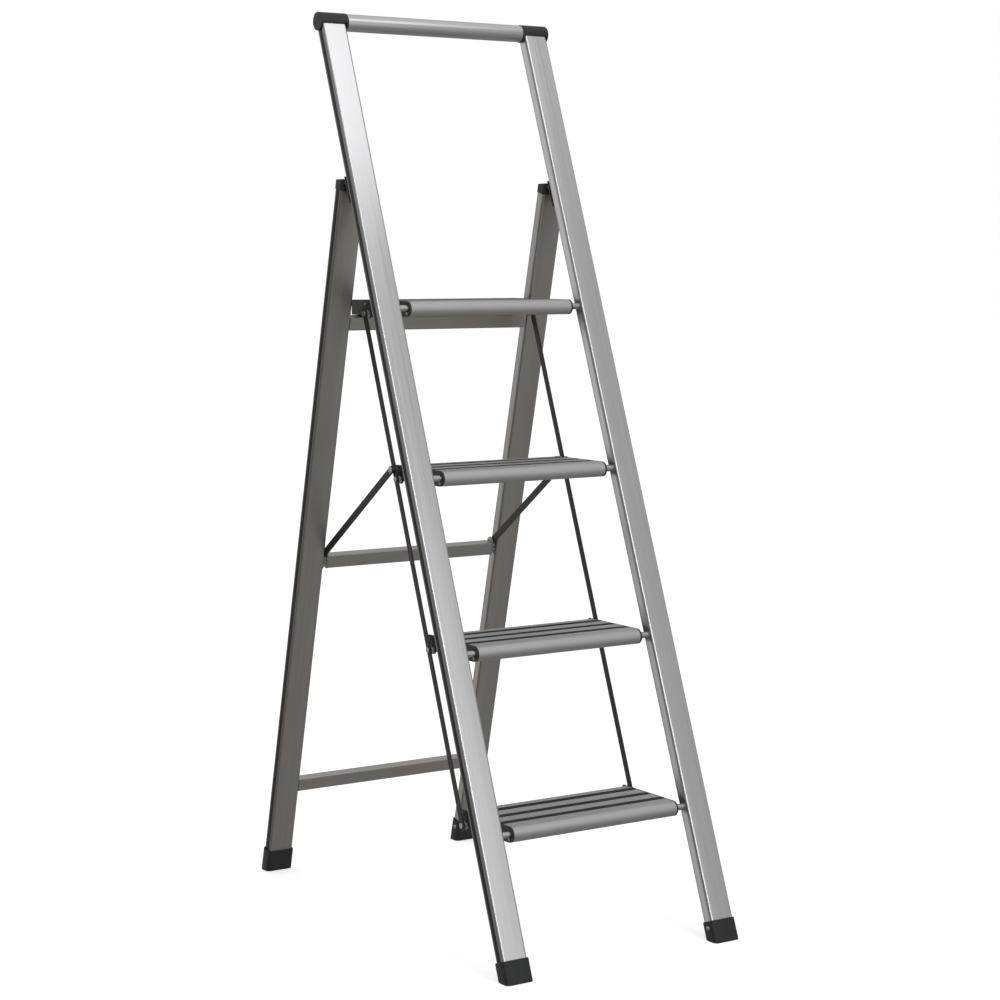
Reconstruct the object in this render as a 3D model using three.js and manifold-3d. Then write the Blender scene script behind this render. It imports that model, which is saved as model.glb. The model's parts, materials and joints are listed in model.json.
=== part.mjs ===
// A folding step ladder with four treads and a handle bar, standing open.
// Millimetres: +X to the right, +Y from the climbing side to the back, +Z up.
// The origin is on the floor, in the middle of the ladder's outer box.

import * as THREE from "three";
import { mergeVertices } from "three/addons/utils/BufferGeometryUtils.js";
import Module from "manifold-3d";

const wasm = await Module();
wasm.setup();

const { sin, cos, tan } = Math;
const quarter = Math.PI / 2;
const point = (depth, height) => new THREE.Vector2(depth, height);

// ---------- Driving dimensions ----------

const clearance = 0.3; // left between pieces that touch
const overlap = 1; // how far a cut, or a block joined to another, runs past the face they share

// How many straight facets stand in for each kind of curve.
const facets = { turned: 12, handle: 32, corner: 3, strapEnd: 6, bracketTop: 8, knuckle: 10, nose: 10 };

// A lean is measured from upright, and is positive when the frame's top is further back.
const frontLean = THREE.MathUtils.degToRad(20.6);
const rearLean = THREE.MathUtils.degToRad(-13.4);
const floorSpread = 729; // between the two frames' front faces, on the floor

const stile = { width: 42, depth: 20, wall: 1.5, corner: 4, centre: 186 };
const frontStileTop = 1376; // height of the front stiles' top front edge

const foot = { wall: 2.5, sole: 4, frontHeight: 32, rearHeight: 35 };

const handle = { radius: 13.4, wall: 1.5, rise: 6.9, halfLength: 161 };
const handleCap = { radius: 14.2, outward: 2.7, plug: 25, spigot: 20 };

// The hinge pin stands off both stiles, so the folded frames lie side by side.
const hinge = { behindFront: 7.2, aheadOfRear: 4.8, knuckleRadius: 4 };
const hingePinSize = { radius: 2, head: 3.2, headHeight: 1.4 };
const hingePlate = { halfWidth: 20.9, thickness: 2.5, above: 7.1, below: 35.6, taper: 12, thinEnd: 2.2 };
const knuckleHalf = 8; // the bracket's knuckle lies between the rear cap's two lugs
const lugEnd = 17;
const rearCap = { top: 1137, skirt: 1150.7, stileEnd: 1160.5, wall: 1.2, plug: 15 };

// Treads, each placed by the axle through its nose.
const tread = { count: 4, pitch: 250, firstAxle: 192, halfLength: 146.3, wall: 1.6, corner: 2 };
const nose = { depth: 2.7, height: -0.9, radius: 11.75, back: 10.5 };
const stepDepth = 122; // from the axle to a step's back edge
const platformDepth = 170; // the top tread rests on a crossbar
const strip = { width: 10, first: 26.8, pitch: 36, recess: 0.8 };
const axle = { radius: 5, spigot: 3.5, spigotLength: 2.8 };
const endCap = { thickness: 2.7, plug: 12, lugRadius: 7, stepOverhang: 9 };

// Link bars join the treads, and braces tie the third tread's linkage to the rear frame.
const linkPivot = point(116.5, -10.5); // from each tread's axle
const link = { width: 9, thickness: 3, overhang: 8 };
const brace = { width: 11, thickness: 3, overhang: 6 };
const rivet = { boss: 6.5, bossLength: 4.8, shank: 2.6, head: 4.5, headHeight: 1.4 };
const braceFootHeight = 542.8;
const bracket = { inner: 156.5, thickness: 2.2, roundness: 8, webDrop: 10, webHeight: 3, webInset: 1 };
const bracePinRadius = 3;

const crossbar = { height: 22, depth: 16, wall: 1.3, corner: 2, lowCentre: 146.6 };

const finishes = {
  anodised: { color: 0xc9cacc, roughness: 0.38, metalness: 0.9 },
  brushed: { color: 0xb4b4b6, roughness: 0.45, metalness: 0.9 },
  rearAluminium: { color: 0x8d8a86, roughness: 0.5, metalness: 0.8 },
  zincPlated: { color: 0x9c9c9a, roughness: 0.4, metalness: 0.9 },
  blackPlastic: { color: 0x2a2a2b, roughness: 0.55, metalness: 0 },
  blackSteel: { color: 0x2c2b2a, roughness: 0.45, metalness: 0.5 },
};

// ---------- Outlines and solids ----------

function arc(centre, radius, from, to, steps) {
  return Array.from({ length: steps + 1 }, (_, step) => {
    const angle = from + ((to - from) * step) / steps;
    return point(centre.x + radius * cos(angle), centre.y + radius * sin(angle));
  });
}

function circle(centre, radius, steps = facets.turned) {
  return arc(centre, radius, 0, 4 * quarter, steps).slice(0, -1);
}

function roundedRectangle(centre, width, height, radius) {
  const side = width / 2 - radius;
  const rise = height / 2 - radius;
  const corners = [[side, rise], [-side, rise], [-side, -rise], [side, -rise]];
  return corners.flatMap(([x, y], turn) => {
    const corner = point(centre.x + x, centre.y + y);
    return arc(corner, radius, turn * quarter, (turn + 1) * quarter, facets.corner);
  });
}

function rectangle(left, bottom, right, top) {
  return [point(left, bottom), point(right, bottom), point(right, top), point(left, top)];
}

// Depth and height become Y and Z, and the drawing's thickness runs along X.
const sideView = new THREE.Matrix4().makeBasis(
  new THREE.Vector3(0, 1, 0),
  new THREE.Vector3(0, 0, 1),
  new THREE.Vector3(1, 0, 0),
);

function prism(outline, from, to, view) {
  const settings = { depth: to - from, bevelEnabled: false };
  const geometry = new THREE.ExtrudeGeometry(new THREE.Shape(outline), settings);
  geometry.translate(0, 0, from);
  geometry.applyMatrix4(view);
  return solid(geometry);
}

function pierced(outline, holes, from, to, view) {
  const block = prism(outline, from, to, view);
  const cuts = holes.map((hole) => prism(hole, from - overlap, to + overlap, view));
  return cuts.reduce((body, cut) => body.subtract(cut), block);
}

// A side view, drawn as (depth, height), given its thickness between two planes across the ladder.
function slice(outline, from, to, holes = []) {
  return pierced(outline, holes, from, to, sideView);
}

// A section, drawn as (across, depth), run up a stile between two heights.
function upright(outline, from, to, holes = []) {
  return pierced(outline, holes, from, to, new THREE.Matrix4());
}

// A turned pin that lies across the ladder. Each step is a radius and the plane it reaches.
function turnedPin(start, steps) {
  const profile = [new THREE.Vector2(0, start)];
  let from = start;
  for (const [radius, to] of steps) {
    profile.push(new THREE.Vector2(radius, from), new THREE.Vector2(radius, to));
    from = to;
  }
  profile.push(new THREE.Vector2(0, from));
  const geometry = new THREE.LatheGeometry(profile, facets.turned);
  geometry.rotateZ(-quarter);
  return solid(geometry);
}

// A flat bar with round ends, from its first pivot upwards, with a hole at each pivot.
function strap({ width, overhang }, pivots, holeRadius, from, to) {
  const reach = overhang - width / 2;
  const top = pivots[pivots.length - 1] + reach;
  const outline = [
    ...arc(point(0, top), width / 2, 0, 2 * quarter, facets.strapEnd),
    ...arc(point(0, pivots[0] - reach), width / 2, 2 * quarter, 4 * quarter, facets.strapEnd),
  ];
  const holes = pivots.map((height) => circle(point(0, height), holeRadius));
  return slice(outline, from, to, holes);
}

function solid(geometry) {
  geometry.deleteAttribute("normal");
  geometry.deleteAttribute("uv");
  const merged = mergeVertices(geometry);
  const corners = merged.index.array;
  const triangles = [];
  for (let first = 0; first < corners.length; first += 3) {
    const [a, b, c] = corners.slice(first, first + 3);
    // On a turned piece's axis, two corners of a triangle fall in one place.
    if (a !== b && b !== c && c !== a) {
      triangles.push(a, b, c);
    }
  }
  const vertProperties = Float32Array.from(merged.attributes.position.array);
  const triVerts = Uint32Array.from(triangles);
  return new wasm.Manifold(new wasm.Mesh({ numProp: 3, vertProperties, triVerts }));
}

// ---------- Where the frames, pivots and layers lie ----------

const fold = frontLean - rearLean;
const treadSwing = quarter - frontLean;

const alongFrame = (lean, depth, height) => depth * sin(lean) + height * cos(lean);

// Height of the hinge, where the lines that stand off the two frames cross.
const hingeHeight =
  (floorSpread - hinge.aheadOfRear / cos(rearLean) - (stile.depth + hinge.behindFront) / cos(frontLean)) /
  (tan(frontLean) - tan(rearLean));
const hingeDepth = hingeHeight * tan(frontLean) + (stile.depth + hinge.behindFront) / cos(frontLean);
const hingePoint = point(hingeDepth, hingeHeight);
const hingeUpFront = alongFrame(frontLean, hingeDepth, hingeHeight);
const hingeUpRear = alongFrame(rearLean, hingeDepth - floorSpread, hingeHeight);

const middleOfStile = stile.depth / 2;
const stileInner = stile.centre - stile.width / 2;
const stileOuter = stile.centre + stile.width / 2;
const drillEnd = stileInner + 2 * stile.wall; // a stile's holes go through its inner wall only

const axlePoints = Array.from({ length: tread.count }, (_, number) => {
  const height = tread.firstAxle + number * tread.pitch;
  return point(height * tan(frontLean) + middleOfStile / cos(frontLean), height);
});
const axlesUpFront = axlePoints.map(({ x, y }) => alongFrame(frontLean, x, y));

const braceFoot = point(
  floorSpread + braceFootHeight * tan(rearLean) + middleOfStile / cos(rearLean),
  braceFootHeight,
);
const braceFootUpRear = alongFrame(rearLean, braceFoot.x - floorSpread, braceFoot.y);

// The brace joins the link bar at the one place where its length is the same open and folded.
const linkedAxle = axlePoints[2];
const upTheFront = point(sin(frontLean), cos(frontLean));
const openSpan = linkedAxle.clone().add(linkPivot).sub(braceFoot);
const foldedPivot = linkPivot.clone().rotateAround(point(0, 0), treadSwing).add(linkedAxle);
const foldedSpan = foldedPivot.sub(braceFoot.clone().rotateAround(hingePoint, -fold));
const braceJoint =
  (foldedSpan.lengthSq() - openSpan.lengthSq()) / (2 * upTheFront.dot(openSpan.clone().sub(foldedSpan)));
const braceSpan = openSpan.clone().addScaledVector(upTheFront, braceJoint);

// Layers between a tread's end and the stile, outwards from the ladder's middle plane.
const capInner = tread.halfLength + clearance;
const capOuter = capInner + endCap.thickness;
const bossInner = capOuter + clearance;
const bossOuter = bossInner + rivet.bossLength;
const linkInner = bossOuter + clearance;
const linkOuter = linkInner + link.thickness;
const headInner = linkOuter + clearance;
const headOuter = headInner + rivet.headHeight;
const braceInner = headOuter + 2 * clearance;
const braceOuter = braceInner + brace.thickness;

// The outer box runs from the front feet's front edge to the rear feet's back edge.
const frontEdge = -foot.wall / cos(frontLean);
const backEdge = floorSpread + (stile.depth + foot.wall) / cos(rearLean);
const middle = (frontEdge + backEdge) / 2;

// ---------- Stiles and feet ----------

function stileSection(growth) {
  const centre = point(stile.centre, middleOfStile);
  return roundedRectangle(
    centre,
    stile.width + 2 * growth,
    stile.depth + 2 * growth,
    stile.corner + growth,
  );
}

// The stile stands in its foot with enough rubber under its lowest corner.
function stileBottom(lean) {
  const drop = Math.max(0, stile.depth * sin(lean));
  return (foot.sole + drop) / cos(lean) + clearance;
}

function stileTube(lean, top, drillings) {
  let tube = upright(stileSection(0), stileBottom(lean), top, [stileSection(-stile.wall)]);
  for (const { height, radius } of drillings) {
    const drill = slice(circle(point(middleOfStile, height), radius), stileInner - overlap, drillEnd);
    tube = tube.subtract(drill);
  }
  return tube;
}

function stileFoot(lean, height) {
  // The sole is level, so along the leaning stile it climbs with depth.
  const sole = (depth) => depth * tan(lean);
  const front = -foot.wall;
  const back = stile.depth + foot.wall;
  const top = height / cos(lean);
  const outline = [point(front, sole(front)), point(back, sole(back)), point(back, top), point(front, top)];
  const block = slice(outline, stileInner - foot.wall, stileOuter + foot.wall);
  const wellAbove = 2 * top;
  const wellBelow = -stile.depth;
  const rounded = upright(stileSection(foot.wall), wellBelow, wellAbove);
  const socket = upright(stileSection(clearance), stileBottom(lean) - clearance, wellAbove);
  return block.intersect(rounded).subtract(socket);
}

// ---------- Handle ----------

const frontStileEnd = frontStileTop / cos(frontLean);
const handleCentre = point(middleOfStile, frontStileEnd + handle.rise);

const handleCircle = (radius) => circle(handleCentre, radius, facets.handle);

function handleTube() {
  const bore = handleCircle(handle.radius - handle.wall);
  return slice(handleCircle(handle.radius), -handle.halfLength, handle.halfLength, [bore]);
}

// A saddle over the stile's end, with a plug down the stile and a spigot into the handle.
function handleEndCap() {
  const inner = handle.halfLength + clearance;
  const barrel = slice(handleCircle(handleCap.radius), inner, stileOuter + handleCap.outward);
  // Everything below the stile's end is cut away, a stile's depth beyond it to the front and back.
  const seatOutline = rectangle(-stile.depth, 0, 2 * stile.depth, frontStileEnd + clearance);
  const seat = slice(seatOutline, stileInner - clearance, stileOuter + clearance);
  const plug = upright(
    stileSection(-stile.wall - clearance),
    frontStileEnd - handleCap.plug,
    handleCentre.y,
  );
  const spigotRadius = handle.radius - handle.wall - clearance;
  const spigot = slice(handleCircle(spigotRadius), inner - handleCap.spigot, inner + overlap);
  return barrel.subtract(seat).add(plug).add(spigot);
}

// ---------- Hinge between the frames ----------

function hingeBracket() {
  const pin = point(stile.depth + hinge.behindFront, hingeUpFront);
  const face = stile.depth + clearance;
  const thick = stile.depth + clearance + hingePlate.thickness;
  const top = pin.y + hingePlate.above;
  const bottom = pin.y - hingePlate.below;
  const plateOutline = [
    point(face, bottom),
    point(face + hingePlate.thinEnd, bottom),
    point(thick, bottom + hingePlate.below - hingePlate.taper),
    point(thick, top),
    point(face, top),
  ];
  const left = stile.centre - hingePlate.halfWidth;
  const plate = slice(plateOutline, left, stile.centre + hingePlate.halfWidth);
  const knuckleOutline = [
    point(face + overlap, pin.y + hinge.knuckleRadius),
    point(face + overlap, pin.y - hinge.knuckleRadius),
    ...arc(pin, hinge.knuckleRadius, -quarter, quarter, facets.knuckle),
  ];
  const bore = circle(pin, hingePinSize.radius + clearance);
  const knuckle = slice(knuckleOutline, stile.centre - knuckleHalf, stile.centre + knuckleHalf, [bore]);
  return plate.add(knuckle);
}

function rearHingeCap() {
  const pin = point(-hinge.aheadOfRear, hingeUpRear);
  const front = -rearCap.wall;
  const back = stile.depth + rearCap.wall;
  // The top is level, so along the leaning stile it falls with depth.
  const top = (depth) => rearCap.top / cos(rearLean) + depth * tan(rearLean);
  const bodyOutline = [
    point(front, rearCap.skirt),
    point(back, rearCap.skirt),
    point(back, top(back)),
    point(front, top(front)),
  ];
  const wellAbove = 2 * rearCap.top;
  const block = slice(bodyOutline, stileInner - rearCap.wall, stileOuter + rearCap.wall);
  const body = block.intersect(upright(stileSection(rearCap.wall), 0, wellAbove));
  const socket = upright(stileSection(clearance), 0, rearCap.stileEnd + clearance);
  const plugBottom = rearCap.stileEnd - rearCap.plug;
  const plug = upright(stileSection(-stile.wall - clearance), plugBottom, rearCap.stileEnd + overlap);
  const lugOutline = [
    point(overlap, pin.y - hinge.knuckleRadius),
    point(overlap, pin.y + hinge.knuckleRadius),
    ...arc(pin, hinge.knuckleRadius, quarter, 3 * quarter, facets.knuckle),
  ];
  const lugs = slice(lugOutline, stile.centre - lugEnd, stile.centre + lugEnd);
  const bore = slice(circle(pin, hingePinSize.radius + clearance), stileInner, stileOuter);
  const notchHalf = knuckleHalf + clearance;
  const notchOutline = rectangle(-stile.depth, 0, 0, wellAbove);
  const notch = slice(notchOutline, stile.centre - notchHalf, stile.centre + notchHalf);
  return body.add(lugs).subtract(socket).add(plug).subtract(notch).subtract(bore);
}

function hingePin() {
  const { radius, head, headHeight } = hingePinSize;
  const inner = stile.centre - lugEnd - clearance;
  const outer = stile.centre + lugEnd + clearance;
  return turnedPin(inner - headHeight, [
    [head, inner],
    [radius, outer],
    [head, outer + headHeight],
  ]);
}

// ---------- Treads ----------

const treadTop = nose.height + nose.radius;
const treadBottom = nose.height - nose.radius;
const linkHole = rivet.shank + clearance;

// The side view: round nose, flat underside and a top with a recess for each strip.
function treadOutline(depth, recess) {
  const noseArc = arc(point(nose.depth, nose.height), nose.radius, quarter, 3 * quarter, facets.nose);
  const rear = depth - tread.corner;
  const cornerArc = (height, from, to) => arc(point(rear, height), tread.corner, from, to, facets.corner);
  const lowCorner = cornerArc(treadBottom + tread.corner, -quarter, 0);
  const topCorner = cornerArc(treadTop - tread.corner, 0, quarter);
  const half = strip.width / 2 + clearance;
  const recesses = stripCentres(depth).reverse().flatMap((centre) => [
    point(centre + half, treadTop),
    point(centre + half, treadTop - recess),
    point(centre - half, treadTop - recess),
    point(centre - half, treadTop),
  ]);
  return [...noseArc, ...lowCorner, ...topCorner, ...(recess > 0 ? recesses : [])];
}

function stripCentres(depth) {
  const count = Math.floor((depth - strip.first) / strip.pitch) + 1;
  return Array.from({ length: count }, (_, number) => strip.first + number * strip.pitch);
}

// The tread is hollow behind its nose, with a rib between each two hollows.
function treadHollows(depth, margin) {
  const count = stripCentres(depth).length;
  const step = (depth - nose.back) / count;
  const bottom = treadBottom + tread.wall + margin;
  const top = treadTop - strip.recess - tread.wall - margin;
  return Array.from({ length: count }, (_, number) => {
    const front = nose.back + number * step;
    return rectangle(front + margin, bottom, front + step - tread.wall - margin, top);
  });
}

function treadProfile(depth) {
  const bore = circle(point(0, 0), axle.radius + clearance);
  const holes = [bore, ...treadHollows(depth, 0)];
  return slice(treadOutline(depth, strip.recess), -tread.halfLength, tread.halfLength, holes);
}

// A step's end cap stands out behind the tread.
function treadEndCap(depth, overhang) {
  let cap = slice(treadOutline(depth + overhang, 0), capInner, capOuter);
  cap = cap.add(slice(circle(linkPivot, endCap.lugRadius), capInner, capOuter));
  for (const hollow of treadHollows(depth, clearance)) {
    cap = cap.add(slice(hollow, capInner - endCap.plug, capInner + overlap));
  }
  const bore = slice(circle(point(0, 0), axle.radius + clearance), capInner - overlap, capOuter + overlap);
  const rivetHole = slice(circle(linkPivot, linkHole), capInner, capOuter + overlap);
  return cap.subtract(bore).subtract(rivetHole);
}

function treadAxle() {
  const shoulder = stileInner - clearance;
  const end = shoulder + axle.spigotLength;
  return turnedPin(-end, [
    [axle.spigot, -shoulder],
    [axle.radius, shoulder],
    [axle.spigot, end],
  ]);
}

// ---------- Links and braces ----------

const linkSpacing = tread.pitch / cos(frontLean);
const linkPivots = axlePoints.map((_, number) => number * linkSpacing);

// The link bar, with the round seat on its outer face that the brace's rivet bears on.
function linkBar() {
  const bar = strap(link, linkPivots, linkHole, linkInner, linkOuter);
  const seatCentre = point(0, linkPivots[2] + braceJoint);
  return bar.add(slice(circle(seatCentre, rivet.head), linkOuter - overlap, headOuter));
}

function linkRivet() {
  return turnedPin(capInner + clearance, [
    [rivet.shank, bossInner],
    [rivet.boss, bossOuter],
    [rivet.shank, headInner],
    [rivet.head, headOuter],
  ]);
}

function braceBar() {
  return strap(brace, [0, braceSpan.length()], bracePinRadius + clearance, braceInner, braceOuter);
}

// The brace's upper rivet, short of the link bar, so the brace can pass it while the ladder folds.
function braceRivet() {
  return turnedPin(braceInner - clearance, [
    [bracePinRadius, braceOuter + clearance],
    [brace.width / 2, stileInner - clearance],
  ]);
}

function bracePin() {
  return turnedPin(bracket.inner + clearance, [[bracePinRadius, drillEnd]]);
}

const middleBarCentre = braceFootUpRear + clearance - crossbar.height / 2;

// A clevis with one plate beside the brace, a web under its end and a flange on the stile.
function braceBracket() {
  const pin = point(middleOfStile, braceFootUpRear);
  const front = middleOfStile - bracket.roundness;
  const back = middleOfStile + bracket.roundness;
  const bottom = middleBarCentre - crossbar.height / 2;
  const plateOuter = bracket.inner + bracket.thickness;
  const plateOutline = [
    point(front, bottom),
    point(back, bottom),
    ...arc(pin, bracket.roundness, 0, 2 * quarter, facets.bracketTop),
  ];
  const hole = circle(pin, bracePinRadius + clearance);
  const plate = slice(plateOutline, bracket.inner, plateOuter, [hole]);
  const webTop = pin.y - bracket.webDrop;
  const webFront = front + bracket.webInset;
  const webBack = back - bracket.webInset;
  const webOutline = rectangle(webFront, webTop - bracket.webHeight, webBack, webTop);
  const web = slice(webOutline, plateOuter - overlap, stileInner - clearance);
  const flangeOutline = rectangle(webFront, bottom, webBack, webTop);
  const flange = slice(flangeOutline, braceOuter + clearance, stileInner - clearance);
  return plate.add(web).add(flange);
}

// ---------- Crossbars ----------

function crossbarTube(centreHeight, halfLength) {
  const centre = point(middleOfStile, centreHeight);
  const outline = roundedRectangle(centre, crossbar.depth, crossbar.height, crossbar.corner);
  const bore = roundedRectangle(
    centre,
    crossbar.depth - 2 * crossbar.wall,
    crossbar.height - 2 * crossbar.wall,
    crossbar.corner - crossbar.wall,
  );
  return slice(outline, -halfLength, halfLength, [bore]);
}

// The top crossbar's highest edge is its round back one, and the platform rests on it.
function topBarCentre() {
  const platformUnderside = axlePoints[tread.count - 1].y + treadBottom - clearance;
  const cornerDepth = middleOfStile + crossbar.depth / 2 - crossbar.corner;
  const cornerHeight = platformUnderside - crossbar.corner + cornerDepth * sin(rearLean);
  return cornerHeight / cos(rearLean) - crossbar.height / 2 + crossbar.corner;
}

// ---------- Assembly ----------

const ladder = new THREE.Group();

function subAssembly(depth, height, lean) {
  const assembly = new THREE.Group();
  assembly.position.set(0, depth - middle, height);
  assembly.rotation.x = -lean;
  ladder.add(assembly);
  return assembly;
}

function addPiece(assembly, name, shape, finish) {
  const { vertProperties, triVerts } = shape.getMesh();
  const geometry = new THREE.BufferGeometry();
  geometry.setAttribute("position", new THREE.BufferAttribute(vertProperties, 3));
  geometry.setIndex(new THREE.BufferAttribute(triVerts, 1));
  const material = new THREE.MeshStandardMaterial({ ...finish, flatShading: true });
  const mesh = new THREE.Mesh(geometry, material);
  mesh.name = name;
  assembly.add(mesh);
  return mesh;
}

// Shapes are drawn for the right side, and the left one is its mirror image.
function addPair(assembly, name, shape, finish) {
  addPiece(assembly, `${name}_right`, shape, finish);
  addPiece(assembly, `${name}_left`, shape, finish).scale.x = -1;
}

function addFrontFrame() {
  const frame = subAssembly(0, 0, frontLean);
  const drillings = axlesUpFront.map((height) => ({ height, radius: axle.spigot + clearance }));
  addPair(frame, "front_stile", stileTube(frontLean, frontStileEnd, drillings), finishes.anodised);
  addPair(frame, "front_foot", stileFoot(frontLean, foot.frontHeight), finishes.blackPlastic);
  addPiece(frame, "handle_tube", handleTube(), finishes.anodised);
  addPair(frame, "handle_cap", handleEndCap(), finishes.blackPlastic);
  addPair(frame, "hinge_bracket", hingeBracket(), finishes.blackPlastic);
}

function addRearFrame() {
  const frame = subAssembly(floorSpread, 0, rearLean);
  const drillings = [{ height: braceFootUpRear, radius: bracePinRadius + clearance }];
  addPair(frame, "rear_stile", stileTube(rearLean, rearCap.stileEnd, drillings), finishes.rearAluminium);
  addPair(frame, "rear_foot", stileFoot(rearLean, foot.rearHeight), finishes.blackPlastic);
  addPair(frame, "rear_hinge_cap", rearHingeCap(), finishes.blackPlastic);
  const fullLength = stileInner - clearance;
  const betweenBrackets = bracket.inner - clearance;
  const lowCentre = crossbar.lowCentre / cos(rearLean);
  addPiece(frame, "lower_crossbar", crossbarTube(lowCentre, fullLength), finishes.rearAluminium);
  addPiece(frame, "middle_crossbar", crossbarTube(middleBarCentre, betweenBrackets), finishes.rearAluminium);
  addPiece(frame, "upper_crossbar", crossbarTube(topBarCentre(), fullLength), finishes.rearAluminium);
  addPair(frame, "brace_bracket", braceBracket(), finishes.zincPlated);
}

function addHingePins() {
  const hingeLine = subAssembly(hingePoint.x, hingePoint.y, frontLean);
  addPair(hingeLine, "hinge_pin", hingePin(), finishes.zincPlated);
}

function addTreads() {
  axlePoints.forEach((place, number) => {
    const assembly = subAssembly(place.x, place.y, 0);
    const isPlatform = number === tread.count - 1;
    const depth = isPlatform ? platformDepth : stepDepth;
    const overhang = isPlatform ? 0 : endCap.stepOverhang;
    const name = `tread_${number + 1}`;
    addPiece(assembly, name, treadProfile(depth), finishes.brushed);
    addPair(assembly, `${name}_end_cap`, treadEndCap(depth, overhang), finishes.blackPlastic);
    addPiece(assembly, `${name}_axle`, treadAxle(), finishes.zincPlated);
    const pivot = subAssembly(place.x + linkPivot.x, place.y + linkPivot.y, frontLean);
    addPair(pivot, `link_rivet_${number + 1}`, linkRivet(), finishes.zincPlated);
  });
}

function addLinkage() {
  const lowest = axlePoints[0].clone().add(linkPivot);
  const links = subAssembly(lowest.x, lowest.y, frontLean);
  addPair(links, "link_bar", linkBar(), finishes.blackSteel);
  const braceLean = quarter - braceSpan.angle();
  const braces = subAssembly(braceFoot.x, braceFoot.y, braceLean);
  addPair(braces, "brace", braceBar(), finishes.blackSteel);
  addPair(braces, "brace_pin", bracePin(), finishes.zincPlated);
  const top = braceFoot.clone().add(braceSpan);
  const braceTops = subAssembly(top.x, top.y, braceLean);
  addPair(braceTops, "brace_rivet", braceRivet(), finishes.zincPlated);
}

addFrontFrame();
addRearFrame();
addHingePins();
addTreads();
addLinkage();

export default ladder;
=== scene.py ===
import json
import math

import bmesh
import bpy
from mathutils import Matrix, Vector


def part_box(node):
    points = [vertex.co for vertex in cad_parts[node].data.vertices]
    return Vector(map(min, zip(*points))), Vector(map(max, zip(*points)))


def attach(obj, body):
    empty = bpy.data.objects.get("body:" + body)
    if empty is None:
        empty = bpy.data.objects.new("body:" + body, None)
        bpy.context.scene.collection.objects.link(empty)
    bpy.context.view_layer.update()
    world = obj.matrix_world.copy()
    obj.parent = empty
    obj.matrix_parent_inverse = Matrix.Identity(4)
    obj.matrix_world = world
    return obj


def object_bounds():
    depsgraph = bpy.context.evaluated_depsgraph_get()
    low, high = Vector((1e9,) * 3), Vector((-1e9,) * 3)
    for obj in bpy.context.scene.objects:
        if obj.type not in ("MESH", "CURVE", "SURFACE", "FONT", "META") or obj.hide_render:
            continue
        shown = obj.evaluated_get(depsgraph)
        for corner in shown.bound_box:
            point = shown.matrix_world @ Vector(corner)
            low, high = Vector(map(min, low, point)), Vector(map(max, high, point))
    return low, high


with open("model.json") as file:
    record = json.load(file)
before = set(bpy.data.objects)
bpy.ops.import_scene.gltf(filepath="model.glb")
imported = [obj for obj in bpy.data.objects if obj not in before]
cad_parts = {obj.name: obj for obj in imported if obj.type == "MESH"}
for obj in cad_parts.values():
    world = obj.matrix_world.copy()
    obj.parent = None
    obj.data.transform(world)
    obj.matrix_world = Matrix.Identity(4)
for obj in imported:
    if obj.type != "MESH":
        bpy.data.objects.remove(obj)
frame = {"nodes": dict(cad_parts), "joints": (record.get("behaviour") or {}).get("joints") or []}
cad_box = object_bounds()

# The looks of a folding step ladder: its finishes, strips and screws, and the studio around it.
# Lengths are in metres. The ladder stands on Z = 0, its treads run along X, and it is climbed from -Y.

MM = 0.001
SIDES = {"left": -1, "right": 1}
TREADS = (1, 2, 3, 4)

# How far each frame leans back from upright. The treads' axles lie along the front frame, and the
# ladder is folded when both frames lean alike.
joints = {joint["name"]: joint for joint in frame["joints"]}
hinge = Vector(joints["rear_fold"]["pos_m"])
axle_line = Vector(joints["tread_4_swing"]["pos_m"]) - Vector(joints["tread_1_swing"]["pos_m"])
FRONT_LEAN = math.atan2(axle_line.y, axle_line.z)
REAR_LEAN = FRONT_LEAN - math.radians(joints["rear_fold"]["range_deg"][1])

STILE_DEPTH = 20 * MM  # front to back, on both frames
FOOT_WALL = 2.5 * MM
HINGE_STAND_OFF = 7.2 * MM  # from the front stile's back face to the hinge pin


# ---------- Node helpers ----------

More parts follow.
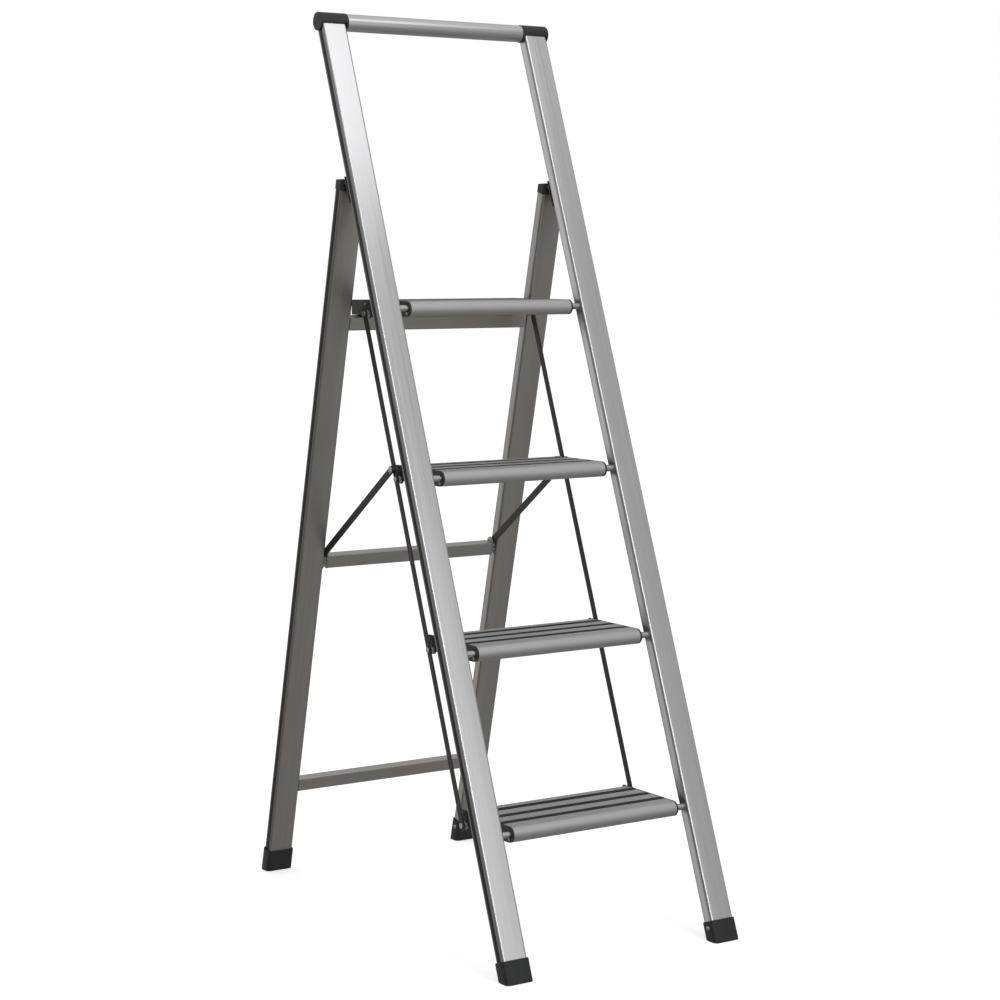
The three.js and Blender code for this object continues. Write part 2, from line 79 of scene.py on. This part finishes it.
class Graph:
    """A node tree, with short calls for the nodes that the finishes and the world share."""

    def __init__(self, tree):
        self.tree = tree

    def node(self, kind, settings=None, **inputs):
        made = self.tree.nodes.new(kind)
        for key, value in (settings or {}).items():
            setattr(made, key, value)
        for key, value in inputs.items():
            self.plug(made.inputs[key.replace("_", " ")], value)
        return made

    def plug(self, socket, value):
        if isinstance(value, bpy.types.NodeSocket):
            self.tree.links.new(value, socket)
        else:
            socket.default_value = value

    def noise(self, vector, detail=4.0, roughness=0.6, scale=1.0):
        made = self.node("ShaderNodeTexNoise", Vector=vector, Scale=scale)
        self.plug(made.inputs["Detail"], detail)
        self.plug(made.inputs["Roughness"], roughness)
        return made.outputs["Fac"]

    def cells(self, vector, scale):
        return self.node("ShaderNodeTexVoronoi", Vector=vector, Scale=scale).outputs["Distance"]

    def ramp(self, factor, low, high, span=(0.0, 1.0)):
        """A number that runs from low to high as factor runs over span."""
        made = self.node("ShaderNodeMapRange", Value=factor)
        self.plug(made.inputs["From Min"], span[0])
        self.plug(made.inputs["From Max"], span[1])
        self.plug(made.inputs["To Min"], low)
        self.plug(made.inputs["To Max"], high)
        return made.outputs["Result"]

    def blend(self, factor, first, second):
        made = self.node("ShaderNodeMix", {"data_type": "RGBA"})
        self.plug(made.inputs["Factor"], factor)
        self.plug(made.inputs["A"], first)
        self.plug(made.inputs["B"], second)
        return made.outputs["Result"]

    def maths(self, operation, first, second=0.0):
        made = self.node("ShaderNodeMath", {"operation": operation})
        self.plug(made.inputs[0], first)
        self.plug(made.inputs[1], second)
        return made.outputs["Value"]

    def axis(self, vector, name):
        return self.node("ShaderNodeSeparateXYZ", Vector=vector).outputs[name]

    def dot(self, first, second):
        made = self.node("ShaderNodeVectorMath", {"operation": "DOT_PRODUCT"})
        self.plug(made.inputs[0], first)
        self.plug(made.inputs[1], second)
        return made.outputs["Value"]


class Finish(Graph):
    """A new material and its node tree, measured from the piece's own object coordinates."""

    def __init__(self, name):
        self.material = bpy.data.materials.new(name)
        self.material.use_nodes = True
        super().__init__(self.material.node_tree)
        self.shader = self.tree.nodes["Principled BSDF"]
        self.surface = self.node("ShaderNodeNewGeometry").outputs
        self.place = self.node("ShaderNodeTexCoord").outputs["Object"]

    def mapped(self, scale, lean=0.0):
        """Object coordinates, turned so that Z runs along a leaning stile, then scaled."""
        turned = self.node("ShaderNodeMapping", Vector=self.place, Rotation=(lean, 0.0, 0.0))
        scaled = self.node("ShaderNodeMapping", Vector=turned.outputs["Vector"], Scale=scale)
        return scaled.outputs["Vector"]

    def painted_shade_masks(self, lean, toe):
        """Two masks of painted shade: the middle of a stile's outer side, and both edges of its inner side.
        """
        outward = self.maths("SIGN", self.axis(self.surface["Position"], "X"))
        facing = self.maths("MULTIPLY", self.axis(self.surface["Normal"], "X"), outward)
        depth = self.axis(self.mapped((1.0, 1.0, 1.0), lean), "Y")
        middle = toe * math.cos(lean) + STILE_DEPTH / 2
        from_middle = self.maths("ABSOLUTE", self.maths("SUBTRACT", depth, middle))
        central = self.ramp(from_middle, 1.0, 0.0, span=(0.15 * STILE_DEPTH, 0.55 * STILE_DEPTH))
        near_edge = self.ramp(from_middle, 0.0, 1.0, span=(0.15 * STILE_DEPTH, 0.5 * STILE_DEPTH))
        outer = self.maths("MULTIPLY", self.ramp(facing, 0.0, 1.0, span=(0.6, 0.95)), central)
        inner = self.maths("MULTIPLY", self.ramp(facing, 1.0, 0.0, span=(-0.95, -0.6)), near_edge)
        return outer, inner

    def edge(self, radius):
        """About 1 on an edge's bevel and 0 on flat surfaces."""
        rounded = self.node("ShaderNodeBevel", {"samples": 4}, Radius=radius).outputs["Normal"]
        return self.ramp(self.dot(rounded, self.surface["Normal"]), 1.0, 0.0, span=(0.75, 0.98))

    def bump(self, height, strength, distance):
        made = self.node("ShaderNodeBump", Height=height, Strength=strength, Distance=distance)
        self.plug(self.shader.inputs["Normal"], made.outputs["Normal"])

    def shade(self, **inputs):
        for key, value in inputs.items():
            self.plug(self.shader.inputs[key.replace("_", " ")], value)


def rgb(red, green, blue):
    return (red, green, blue, 1.0)


# ---------- Materials ----------

# Sizes of the textures, in waves per metre. Grain varies quickly across the metal and slowly along it.
ALONG_STILE = (900.0, 900.0, 5.0)
ACROSS_LADDER = (5.0, 900.0, 900.0)
BROAD_GRAIN = 0.12  # of the fine grain's waves
FINE_SHARE = 0.6  # of the lines, with the rest from the broad grain
STRIP_WEAR = (12.0, 60.0, 60.0)
CLOUDS = 9.0
RUBS = 60.0
CRYSTALS = 700.0
STAINS = 120.0
PIMPLES = 1400.0
DUST = 45.0
PEEL = 900.0
SCUFFS = 70.0
GRIT = 1500.0
FLOOR_MOTTLE = 2.0

# Heights of the textures' relief, and how far in from an edge each finish is rubbed.
FINE_RELIEF = 0.05 * MM
PIMPLE_RELIEF = 0.06 * MM
GRIT_RELIEF = 0.08 * MM
METAL_EDGE = 0.8 * MM
PLASTIC_EDGE = 0.7 * MM
PAINT_EDGE = 0.5 * MM

WHITE = rgb(1.0, 1.0, 1.0)
PALE = rgb(0.83, 0.83, 0.84)
PALE_SHADOW = rgb(0.67, 0.67, 0.68)
SATIN = rgb(0.72, 0.72, 0.73)
SATIN_SHADOW = rgb(0.6, 0.6, 0.61)
GREY = rgb(0.64, 0.64, 0.645)
GREY_SHADOW = rgb(0.54, 0.54, 0.545)
DARK = rgb(0.58, 0.565, 0.545)
DARK_SHADOW = rgb(0.46, 0.448, 0.43)
# Painted shade: near black, put on the stiles' sides where little of the studio's light reaches
PAINTED_SIDE_SHADE = rgb(0.028, 0.0275, 0.027)
RUBBED_METAL = rgb(0.93, 0.93, 0.94)
BARE_STEEL = rgb(0.32, 0.31, 0.3)
PAINT = rgb(0.016, 0.016, 0.016)
PAINT_SCUFF = rgb(0.05, 0.048, 0.046)
RUBBER = rgb(0.012, 0.012, 0.012)
RUBBER_WORN = rgb(0.045, 0.044, 0.043)
FLOOR_PALE = rgb(0.86, 0.86, 0.86)
FLOOR_PALER = rgb(0.88, 0.88, 0.88)
INNER_SHADE = 0.45  # how far the painted shade along the edges of a stile's inner side goes towards black
FLOOR_GLOW = 0.6


def drawn_aluminium(name, colour, shadow, grain, lean=0.0, roughness=0.34, toe=None):
    """Extruded aluminium: fine lines along grain, cloudy anodising and brighter, rubbed edges.

    toe is where a stile's front face meets the floor. It is given for stiles, whose sides get painted
    shade.
    """
    n = Finish(name)
    fine = n.noise(n.mapped(grain, lean), detail=6.0, roughness=0.7)
    broad = n.noise(n.mapped(tuple(BROAD_GRAIN * value for value in grain), lean), detail=2.0)
    clouds = n.noise(n.place, scale=CLOUDS, detail=3.0)
    fine_part = n.maths("MULTIPLY", fine, FINE_SHARE)
    lines = n.maths("ADD", fine_part, n.maths("MULTIPLY", broad, 1 - FINE_SHARE))
    base = n.blend(n.ramp(lines, 0.0, 1.0, span=(0.3, 0.7)), shadow, colour)
    base = n.blend(n.ramp(clouds, 0.0, 0.25, span=(0.45, 0.75)), base, shadow)
    rubs = n.ramp(n.noise(n.place, scale=RUBS), 0.0, 0.8, span=(0.4, 0.7))
    base = n.blend(n.maths("MULTIPLY", n.edge(METAL_EDGE), rubs), base, RUBBED_METAL)
    if toe is not None:
        # Painted shade on the stiles' sides: black in the middle of the outer side, darker along the inner
        # side's edges
        outer, inner = n.painted_shade_masks(lean, toe)
        base = n.blend(n.maths("MULTIPLY", inner, INNER_SHADE), base, PAINTED_SIDE_SHADE)
        base = n.blend(outer, base, PAINTED_SIDE_SHADE)
    n.shade(Base_Color=base, Metallic=1.0)
    n.shade(Roughness=n.ramp(lines, roughness - 0.06, roughness + 0.08, span=(0.25, 0.75)))
    n.bump(lines, 0.12, FINE_RELIEF)
    return n.material


def plated_steel(name, colour, stain):
    """Zinc plating: dull grey with small brighter and darker crystals."""
    n = Finish(name)
    crystals = n.cells(n.place, CRYSTALS)
    stains = n.noise(n.place, scale=STAINS, detail=5.0)
    base = n.blend(n.ramp(crystals, 0.6, 0.0, span=(0.1, 0.6)), colour, stain)
    n.shade(Base_Color=n.blend(n.ramp(stains, 0.0, 0.5, span=(0.5, 0.8)), base, stain), Metallic=1.0)
    n.shade(Roughness=n.ramp(stains, 0.28, 0.5, span=(0.3, 0.7)))
    n.bump(stains, 0.1, FINE_RELIEF)
    return n.material


def moulded_plastic(name, colour, scuff, roughness=0.42):
    """Black plastic from a sparked mould: fine pimples, dust in the hollows and paler rubbed edges."""
    n = Finish(name)
    pimples = n.cells(n.place, PIMPLES)
    dust = n.noise(n.place, scale=DUST, detail=6.0, roughness=0.7)
    base = n.blend(n.ramp(dust, 0.0, 0.35, span=(0.45, 0.8)), colour, scuff)
    rub = n.maths("MULTIPLY", n.edge(PLASTIC_EDGE), n.ramp(dust, 0.15, 0.6, span=(0.35, 0.7)))
    n.shade(Base_Color=n.blend(rub, base, scuff), Metallic=0.0)
    n.shade(Roughness=n.ramp(dust, roughness - 0.06, roughness + 0.14, span=(0.3, 0.7)))
    n.bump(pimples, 0.25, PIMPLE_RELIEF)
    return n.material


def black_paint(name):
    """Satin black powder paint on flat steel bars, with bare metal showing at a few rubbed edges."""
    n = Finish(name)
    peel = n.noise(n.place, scale=PEEL, detail=2.0)
    scuffs = n.noise(n.place, scale=SCUFFS, detail=8.0, roughness=0.75)
    chips = n.maths("MULTIPLY", n.edge(PAINT_EDGE), n.ramp(scuffs, 0.0, 1.0, span=(0.58, 0.68)))
    base = n.blend(n.ramp(scuffs, 0.0, 0.3, span=(0.5, 0.8)), PAINT, PAINT_SCUFF)
    n.shade(Base_Color=n.blend(chips, base, BARE_STEEL), Metallic=chips)
    n.shade(Roughness=n.ramp(scuffs, 0.36, 0.52, span=(0.3, 0.7)))
    n.bump(peel, 0.12, FINE_RELIEF)
    return n.material


def strip_rubber(name):
    """Black ribbed anti-slip rubber, slightly grey where feet have polished it."""
    n = Finish(name)
    grit = n.noise(n.place, scale=GRIT, detail=2.0)
    wear = n.noise(n.mapped(STRIP_WEAR), detail=4.0)
    base = n.blend(n.ramp(wear, 0.0, 0.5, span=(0.45, 0.8)), RUBBER, RUBBER_WORN)
    n.shade(Base_Color=base, Roughness=n.ramp(wear, 0.75, 0.55, span=(0.4, 0.7)))
    n.bump(grit, 0.3, GRIT_RELIEF)
    return n.material


def floor_paint(name):
    """Pale matt paint with a faint mottle and a glow of its own."""
    n = Finish(name)
    mottle = n.noise(n.place, scale=FLOOR_MOTTLE, detail=2.0)
    n.shade(Base_Color=n.blend(mottle, FLOOR_PALE, FLOOR_PALER), Roughness=0.8)
    n.shade(Emission_Color=WHITE, Emission_Strength=FLOOR_GLOW)
    return n.material


# Where each frame's front face meets the floor.
FRONT_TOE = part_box("front_foot_left")[0].y + FOOT_WALL / math.cos(FRONT_LEAN)
REAR_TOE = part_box("rear_foot_left")[1].y - (STILE_DEPTH + FOOT_WALL) / math.cos(REAR_LEAN)

front_metal = drawn_aluminium(
    "anodised_front", PALE, PALE_SHADOW, ALONG_STILE, lean=FRONT_LEAN, roughness=0.3, toe=FRONT_TOE
)
handle_metal = drawn_aluminium("anodised_handle", SATIN, SATIN_SHADOW, ACROSS_LADDER, roughness=0.28)
tread_metal = drawn_aluminium("tread_aluminium", GREY, GREY_SHADOW, ACROSS_LADDER, roughness=0.6)
rear_metal = drawn_aluminium(
    "rear_aluminium", DARK, DARK_SHADOW, ALONG_STILE, lean=REAR_LEAN, roughness=0.42, toe=REAR_TOE
)
crossbar_metal = drawn_aluminium("crossbar_aluminium", DARK, DARK_SHADOW, ACROSS_LADDER, roughness=0.42)
zinc = plated_steel("zinc_plated", rgb(0.62, 0.62, 0.61), rgb(0.38, 0.37, 0.35))
dark_zinc = plated_steel("zinc_dull", rgb(0.5, 0.487, 0.47), rgb(0.4, 0.39, 0.375))
black_plastic = moulded_plastic("moulded_black", rgb(0.014, 0.014, 0.014), rgb(0.055, 0.054, 0.052))
foot_plastic = moulded_plastic(
    "foot_black", rgb(0.012, 0.013, 0.015), rgb(0.05, 0.05, 0.051), roughness=0.5
)
paint = black_paint("black_powder_paint")
rubber = strip_rubber("strip_rubber")


# ---------- Finishing the CAD nodes ----------

WELD_DISTANCE = 0.01 * MM
FLAT_ANGLE = math.radians(1)
SHARP_ANGLE = math.radians(50)
BEVEL_SEGMENTS = 3


def refine(node, material, bevel):
    """Rounds a CAD node's sharp edges, by a bevel in millimetres, and gives it its finish."""
    piece = frame["nodes"][node]
    piece.data.materials.clear()
    piece.data.materials.append(material)
    piece.data.shade_smooth()
    weld = piece.modifiers.new("weld", "WELD")
    weld.merge_threshold = WELD_DISTANCE
    flatten = piece.modifiers.new("flatten", "DECIMATE")
    flatten.decimate_type = "DISSOLVE"
    flatten.angle_limit = FLAT_ANGLE
    round_edges = piece.modifiers.new("round_edges", "BEVEL")
    round_edges.width = bevel * MM
    round_edges.segments = BEVEL_SEGMENTS
    round_edges.limit_method = "ANGLE"
    round_edges.angle_limit = SHARP_ANGLE
    round_edges.harden_normals = False
    normals = piece.modifiers.new("normals", "WEIGHTED_NORMAL")
    normals.keep_sharp = False


def refine_pair(name, material, bevel):
    for side in SIDES:
        refine(f"{name}_{side}", material, bevel)


refine_pair("front_stile", front_metal, bevel=0.4)
refine_pair("rear_stile", rear_metal, bevel=0.4)
refine_pair("front_foot", foot_plastic, bevel=1.2)
refine_pair("rear_foot", foot_plastic, bevel=1.2)
refine_pair("handle_cap", black_plastic, bevel=0.6)
refine_pair("hinge_bracket", black_plastic, bevel=0.4)
refine_pair("rear_hinge_cap", black_plastic, bevel=0.5)
refine_pair("brace_bracket", dark_zinc, bevel=0.4)
refine_pair("link_bar", paint, bevel=0.4)
refine_pair("brace", paint, bevel=0.4)
refine_pair("hinge_pin", paint, bevel=0.4)
refine_pair("brace_pin", dark_zinc, bevel=0.4)
refine_pair("brace_rivet", zinc, bevel=0.5)
refine("handle_tube", handle_metal, bevel=0.3)
for bar in ("lower_crossbar", "middle_crossbar", "upper_crossbar"):
    refine(bar, crossbar_metal, bevel=0.3)
for number in TREADS:
    refine(f"tread_{number}", tread_metal, bevel=0.3)
    refine(f"tread_{number}_axle", zinc, bevel=0.3)
    refine_pair(f"tread_{number}_end_cap", black_plastic, bevel=0.5)
    refine_pair(f"link_rivet_{number}", zinc, bevel=0.6)


# ---------- Fine pieces that the CAD leaves out ----------

SCREW_FACETS = 24
# A pan head's profile, as shares of its radius and height.
PAN_HEAD = [(1.0, 0.0), (1.0, 0.35), (0.92, 0.65), (0.72, 0.88), (0.4, 1.0)]
CROSS_DEPTH = 0.45  # of the head's height
CROSS_REACH = 0.6  # of the head's radius
CROSS_HALF_WIDTH = 0.16  # of the head's radius


def add_piece(name, mesh, body, place=Matrix()):
    """Shows a mesh at its place on the open ladder, riding on a CAD body."""
    piece = bpy.data.objects.new(name, mesh)
    bpy.context.scene.collection.objects.link(piece)
    piece.matrix_world = place
    bpy.context.view_layer.update()
    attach(piece, body)


def lathe(shape, profile, facets):
    """Turns a profile of (radius, height) about Z into a closed skin with flat ends."""
    rings = []
    for radius, height in profile:
        turns = [2 * math.pi * step / facets for step in range(facets)]
        rings.append([shape.verts.new((radius * math.cos(a), radius * math.sin(a), height)) for a in turns])
    for lower, upper in zip(rings, rings[1:]):
        for step in range(facets):
            after = (step + 1) % facets
            shape.faces.new((lower[step], lower[after], upper[after], upper[step]))
    shape.faces.new(reversed(rings[0]))
    shape.faces.new(rings[-1])


def screw_mesh(radius, height):
    """A pan-head screw's head on Z = 0, with a cross cut into its dome."""
    shape = bmesh.new()
    profile = [(radius * across, height * up) for across, up in PAN_HEAD]
    lathe(shape, profile, SCREW_FACETS)
    head_mesh = bpy.data.meshes.new("screw_blank")
    shape.to_mesh(head_mesh)
    shape.free()
    head = bpy.data.objects.new("screw_blank", head_mesh)
    cutter = bpy.data.objects.new("screw_cross", cross_mesh(radius, height))
    for made in (head, cutter):
        bpy.context.scene.collection.objects.link(made)
    cut = head.modifiers.new("cross", "BOOLEAN")
    cut.object = cutter
    bpy.context.view_layer.update()
    finished = bpy.data.meshes.new_from_object(head.evaluated_get(bpy.context.evaluated_depsgraph_get()))
    finished.name = "screw_head"
    finished.materials.append(zinc)
    for made in (head, cutter):
        bpy.data.objects.remove(made)
    return finished


def cross_mesh(radius, height):
    """A plus sign that reaches from above the head down into it."""
    arm = CROSS_REACH * radius
    half = CROSS_HALF_WIDTH * radius
    corners = [(arm, half), (half, half), (half, arm)]
    outline = []
    for quarter in range(4):
        turn = Matrix.Rotation(math.radians(90 * quarter), 2)
        outline += [turn @ Vector(corner) for corner in corners]
    return prism_mesh("screw_cross", outline, (1 - CROSS_DEPTH) * height, 2 * height)


def prism_mesh(name, outline, start, end):
    """An outline in X and Y, extruded along Z between two heights."""
    shape = bmesh.new()
    floor = [shape.verts.new((x, y, start)) for x, y in outline]
    roof = [shape.verts.new((x, y, end)) for x, y in outline]
    shape.faces.new(reversed(floor))
    shape.faces.new(roof)
    for step, corner in enumerate(floor):
        after = (step + 1) % len(floor)
        shape.faces.new((corner, floor[after], roof[after], roof[step]))
    mesh = bpy.data.meshes.new(name)
    shape.to_mesh(mesh)
    shape.free()
    return mesh


def add_screw(name, mesh, place, outward, body):
    turn = Vector(outward).to_track_quat("Z", "Y").to_matrix().to_4x4()
    add_piece(name, mesh, body, Matrix.Translation(place) @ turn)


# ---------- Anti-slip strips ----------

STRIP_FIRST = 35.85 * MM  # from a tread's front edge to the middle of its first strip
STRIP_PITCH = 36 * MM
STRIP_FOOT = 10 * MM  # the width that sits in the tread's recess
STRIP_WIDTH = 14 * MM  # across the lips, which cover the recess's edges
STRIP_RIBS = 7
STRIP_END_GAP = 0.4 * MM
STRIP_BASE = 0.7 * MM  # the strip's foot lies this far below the tread's top
STRIP_RISE = 0.05 * MM  # the valleys between the ribs stand this far above it
RIB_HEIGHT = 0.15 * MM
RIB_PROFILE = [(0.0, 0.0), (0.2, 1.0), (0.6, 1.0), (0.8, 0.0)]  # shares of the ribs' pitch and height


def strip_outline():
    """A ribbed strip's section, as (depth, height) from the tread's top."""
    pitch = STRIP_WIDTH / STRIP_RIBS
    foot = STRIP_FOOT / 2
    lip = STRIP_WIDTH / 2
    ribs = []
    for rib in range(STRIP_RIBS):
        start = rib * pitch - lip
        ribs += [(start + along * pitch, STRIP_RISE + up * RIB_HEIGHT) for along, up in RIB_PROFILE]
    left_side = [(-lip, 0.0), (-foot, 0.0), (-foot, -STRIP_BASE)]
    right_side = [(foot, -STRIP_BASE), (foot, 0.0), (lip, 0.0), (lip, STRIP_RISE)]
    return left_side + right_side + ribs[::-1]


def add_strips(number):
    low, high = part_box(f"tread_{number}")
    count = int((high.y - low.y - STRIP_FIRST) / STRIP_PITCH) + 1
    for index in range(count):
        mesh = prism_mesh("strip", strip_outline(), low.x + STRIP_END_GAP, high.x - STRIP_END_GAP)
        # The section's depth, height and length run along Y, Z and X on the ladder.
        centre = low.y + STRIP_FIRST + index * STRIP_PITCH
        along_ladder = Matrix(((0, 0, 1, 0), (1, 0, 0, centre), (0, 1, 0, high.z), (0, 0, 0, 1)))
        mesh.transform(along_ladder)
        mesh.materials.append(rubber)
        add_piece(f"tread_{number}_strip_{index + 1}", mesh, f"tread_{number}_body")


for number in TREADS:
    add_strips(number)


# ---------- Screws ----------

cap_screw = screw_mesh(radius=2.4 * MM, height=1.5 * MM)
foot_screw = screw_mesh(radius=3.6 * MM, height=2.0 * MM)

# Each cap screw, back from the tread's front edge and up from its underside.
CAP_SCREWS = {"nose": (9.95 * MM, 4.7 * MM), "back": (135.7 * MM, 17.2 * MM)}
FOOT_SCREW = (8 * MM, 24 * MM)  # back from the stile's front face, and up along the stile
PLATE_SCREW = (11 * MM, 20 * MM)  # to each side of the stile's middle, and down from the hinge pin
PLATE_FACE = 2.0 * MM  # from the front stile's back face to the face that the screws sit on


def on_frame(toe, lean, x, depth, height):
    """A point given by its depth behind a frame's front face and its height along the stile."""
    y = toe + depth * math.cos(lean) + height * math.sin(lean)
    return Vector((x, y, height * math.cos(lean) - depth * math.sin(lean)))


def add_cap_screws(number, side):
    tread_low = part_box(f"tread_{number}")[0]
    low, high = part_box(f"tread_{number}_end_cap_{side}")
    face = high.x if side == "right" else low.x
    for name, (back, up) in CAP_SCREWS.items():
        piece = f"tread_{number}_{name}_screw_{side}"
        place = (face, tread_low.y + back, tread_low.z + up)
        add_screw(piece, cap_screw, place, (SIDES[side], 0, 0), f"tread_{number}_body")


def add_foot_screws(side):
    """One screw goes through the inner side of each foot."""
    inward = (-SIDES[side], 0, 0)
    for name, toe, lean in (("front", FRONT_TOE, FRONT_LEAN), ("rear", REAR_TOE, REAR_LEAN)):
        low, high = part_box(f"{name}_foot_{side}")
        inner_face = low.x if side == "right" else high.x
        place = on_frame(toe, lean, inner_face, *FOOT_SCREW)
        add_screw(f"{name}_foot_screw_{side}", foot_screw, place, inward, f"{name}_frame")


def add_plate_screws(side):
    """Two screws below the hinge pin hold each hinge bracket to the front stile's back face."""
    low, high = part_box(f"hinge_bracket_{side}")
    outward = Vector((0, math.cos(FRONT_LEAN), -math.sin(FRONT_LEAN)))
    upward = Vector((0, math.sin(FRONT_LEAN), math.cos(FRONT_LEAN)))
    spread, drop = PLATE_SCREW
    foot_of_pin = hinge - outward * (HINGE_STAND_OFF - PLATE_FACE) - upward * drop
    for turn, name in ((-1, "inner"), (1, "outer")):
        place = foot_of_pin.copy()
        place.x = (low.x + high.x) / 2 + turn * SIDES[side] * spread
        add_screw(f"hinge_{name}_screw_{side}", cap_screw, place, outward, "front_frame")


for side in SIDES:
    add_foot_screws(side)
    add_plate_screws(side)
    for number in TREADS:
        add_cap_screws(number, side)


# ---------- Studio ----------

# Each soft light's place, what it faces, its width and height, and its power in watts.
SOFT_LIGHTS = {
    "front_strip": ((0.0, -2.8, 2.0), (0.0, 0.0, 0.8), (0.4, 2.4), 16.0),
    "front_fill": ((0.6, -2.0, 1.0), (0.0, -0.2, 0.6), (0.8, 1.6), 2.0),
    "top_front": ((0.25, -0.6, 2.0), (0.0, 0.1, 1.3), (0.7, 0.5), 1.0),
}


def aim(thing, target):
    away = thing.location - Vector(target)
    thing.rotation_euler = away.to_track_quat("Z", "Y").to_euler()


def soft_light(name, place, target, size, power):
    data = bpy.data.lights.new(name, "AREA")
    data.shape = "RECTANGLE"
    data.size, data.size_y = size
    data.energy = power
    light = bpy.data.objects.new(name, data)
    bpy.context.scene.collection.objects.link(light)
    light.location = place
    aim(light, target)


FLOOR_RADIUS = 30.0
FLOOR_FACETS = 96
FLOOR_GAP = 0.2 * MM  # the feet stand this far above the floor, so that their soles don't flicker


def make_floor():
    mesh = bpy.data.meshes.new("floor")
    shape = bmesh.new()
    bmesh.ops.create_circle(shape, cap_ends=True, radius=FLOOR_RADIUS, segments=FLOOR_FACETS)
    shape.to_mesh(mesh)
    shape.free()
    floor = bpy.data.objects.new("floor", mesh)
    bpy.context.scene.collection.objects.link(floor)
    floor.location.z = cad_box[0].z - FLOOR_GAP
    mesh.materials.append(floor_paint("floor_paint"))
    floor.visible_glossy = False


GROUND, WALLS, CEILING = 0.24, 0.37, 0.8  # the studio's brightness below, around and above
WARM_FLOOR = rgb(1.0, 0.965, 0.93)

# How steeply up a reflection looks, as a sine, where the floor's light turns into the walls' and the
# walls' into the ceiling's.
FLOOR_FADE = (-0.3, 0.1)
CEILING_FADE = (0.5, 0.95)

# Two screens: the way to each one's middle, its effect there, and the cosines where it starts and is full.
DARK_SIDE = Vector((-0.94, -0.34, 0.0))
DARK_SHARE = 0.3  # of the room's brightness that is left there
DARK_SPREAD = (0.75, 0.97)
BRIGHT_SIDE = Vector((-0.55, 0.83, 0.0))
BRIGHT_GAIN = 0.25
BRIGHT_SPREAD = (0.8, 0.97)


def make_world():
    """White behind the ladder. What the ladder reflects is a room that is brightest overhead."""
    world = bpy.data.worlds.new("studio")
    world.use_nodes = True
    bpy.context.scene.world = world
    g = Graph(world.node_tree)
    towards = g.node("ShaderNodeTexCoord").outputs["Generated"]
    height = g.axis(towards, "Z")
    rise = g.ramp(height, 0.0, 1.0, span=FLOOR_FADE)
    lower = g.ramp(rise, GROUND, WALLS)
    upper = g.ramp(height, 0.0, CEILING - WALLS, span=CEILING_FADE)
    shaded = g.ramp(g.dot(towards, DARK_SIDE), 1.0, DARK_SHARE, span=DARK_SPREAD)
    bounced = g.ramp(g.dot(towards, BRIGHT_SIDE), 0.0, BRIGHT_GAIN, span=BRIGHT_SPREAD)
    level = g.maths("MULTIPLY", g.maths("ADD", lower, upper), shaded)
    level = g.maths("ADD", level, bounced)
    seen = g.node("ShaderNodeLightPath").outputs["Is Camera Ray"]
    background = g.tree.nodes["Background"]
    tint = g.blend(g.maths("MAXIMUM", rise, seen), WARM_FLOOR, WHITE)
    g.plug(background.inputs["Color"], tint)
    g.plug(background.inputs["Strength"], g.maths("MAXIMUM", level, seen))


CAMERA_PLACE = (-1.9321, -3.00573, 1.0152)
CAMERA_LENS = 82.9  # in millimetres, for the width below
CAMERA_WIDTH = 36.0
CAMERA_DROP = math.radians(5.96)  # how far below the horizon it looks
CAMERA_TURN = math.radians(33.06)  # how far to the right of straight at the ladder's front


def make_camera():
    """The photograph's viewpoint: low, from the climbing side's left."""
    data = bpy.data.cameras.new("camera")
    data.lens = CAMERA_LENS
    data.sensor_width = CAMERA_WIDTH
    camera = bpy.data.objects.new("camera", data)
    bpy.context.scene.collection.objects.link(camera)
    camera.location = CAMERA_PLACE
    camera.rotation_euler = (math.radians(90) - CAMERA_DROP, 0.0, -CAMERA_TURN)
    bpy.context.scene.camera = camera


make_floor()
make_world()
make_camera()
for name, settings in SOFT_LIGHTS.items():
    soft_light(name, *settings)
bpy.context.scene.view_settings.view_transform = "Standard"
